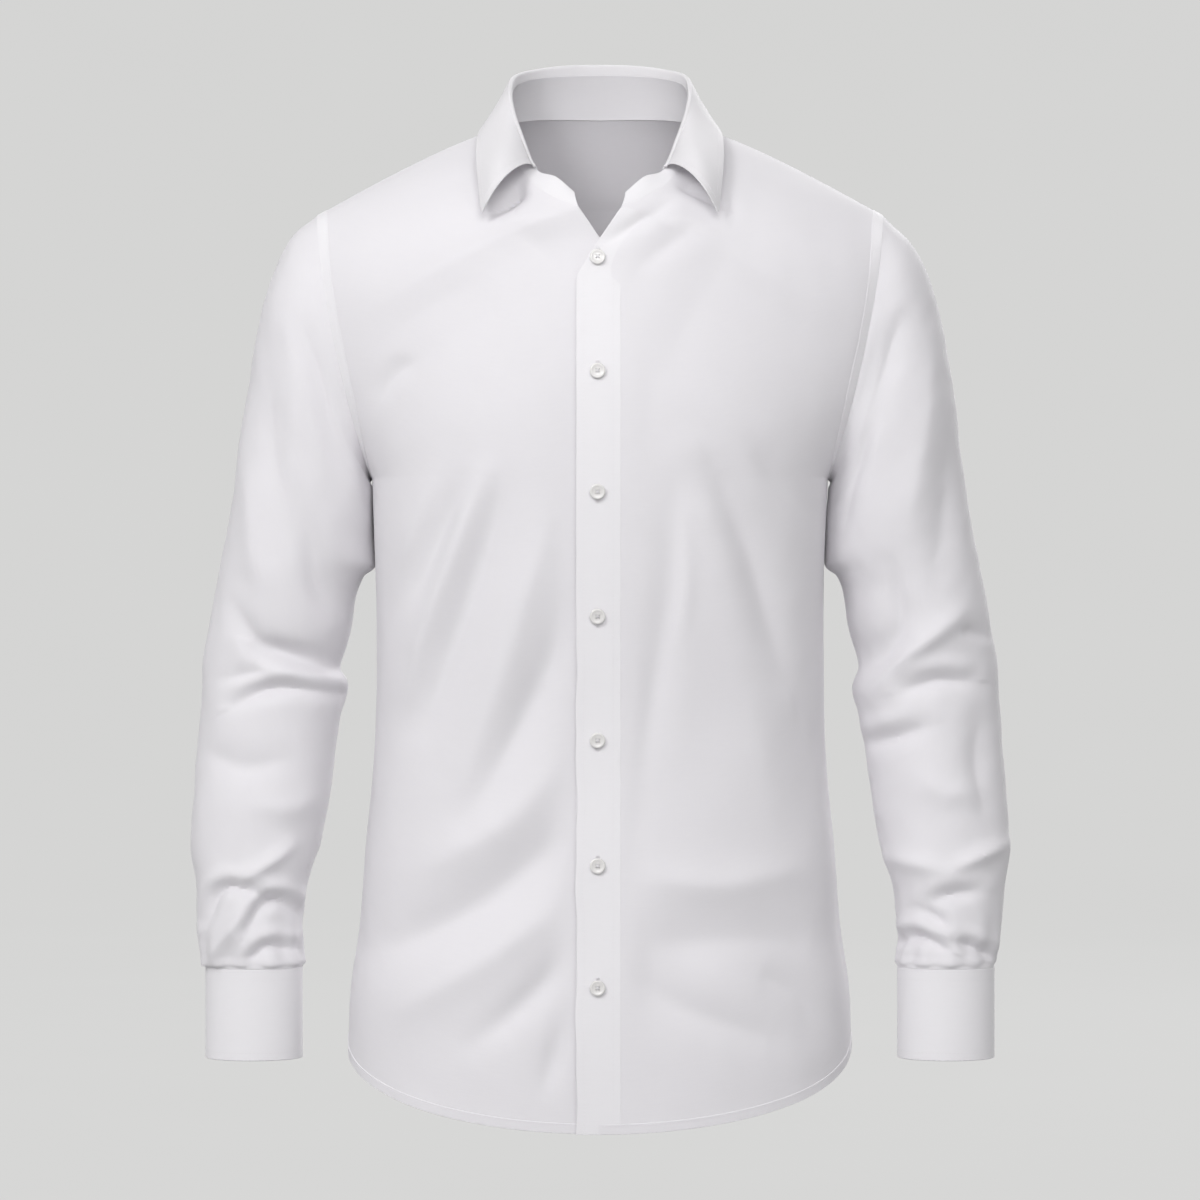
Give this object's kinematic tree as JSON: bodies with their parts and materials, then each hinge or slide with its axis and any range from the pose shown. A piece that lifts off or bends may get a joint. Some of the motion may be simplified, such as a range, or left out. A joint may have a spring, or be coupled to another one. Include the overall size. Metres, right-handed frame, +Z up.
{
  "type": "long sleeve dress shirt",
  "caption": "Plain long sleeve dress shirt in its worn, hollow shape, with an open pointed collar, buttoned placket, curved hem and buttoned cuffs.",
  "frame": {"origin": "midway between the shoulders at the height of the side of the neck, where the wearer's shoulders hold the shirt up", "axes": "+Z up, -Y out of the chest, +X to the wearer's left"},
  "size_m": [0.6258, 0.2504, 0.8306],
  "materials": {
    "cloth": "white cotton poplin, fine plain weave",
    "button": "pearly white, polished"
  },
  "bodies": {
    "root": {"front_left": "cloth", "front_right": "cloth", "back": "cloth", "yoke": "cloth", "sleeve_left": "cloth", "sleeve_right": "cloth", "collar_stand": "cloth", "collar_fall": "cloth", "placket": "cloth", "cuff_left": "cloth", "cuff_right": "cloth", "sleeve_placket_left": "cloth", "sleeve_placket_right": "cloth", "button_1": "button", "button_2": "button", "button_3": "button", "button_4": "button", "button_5": "button", "button_6": "button", "button_7": "button", "button_cuff_left": "button", "button_cuff_right": "button"}
  },
  "joints": []
}
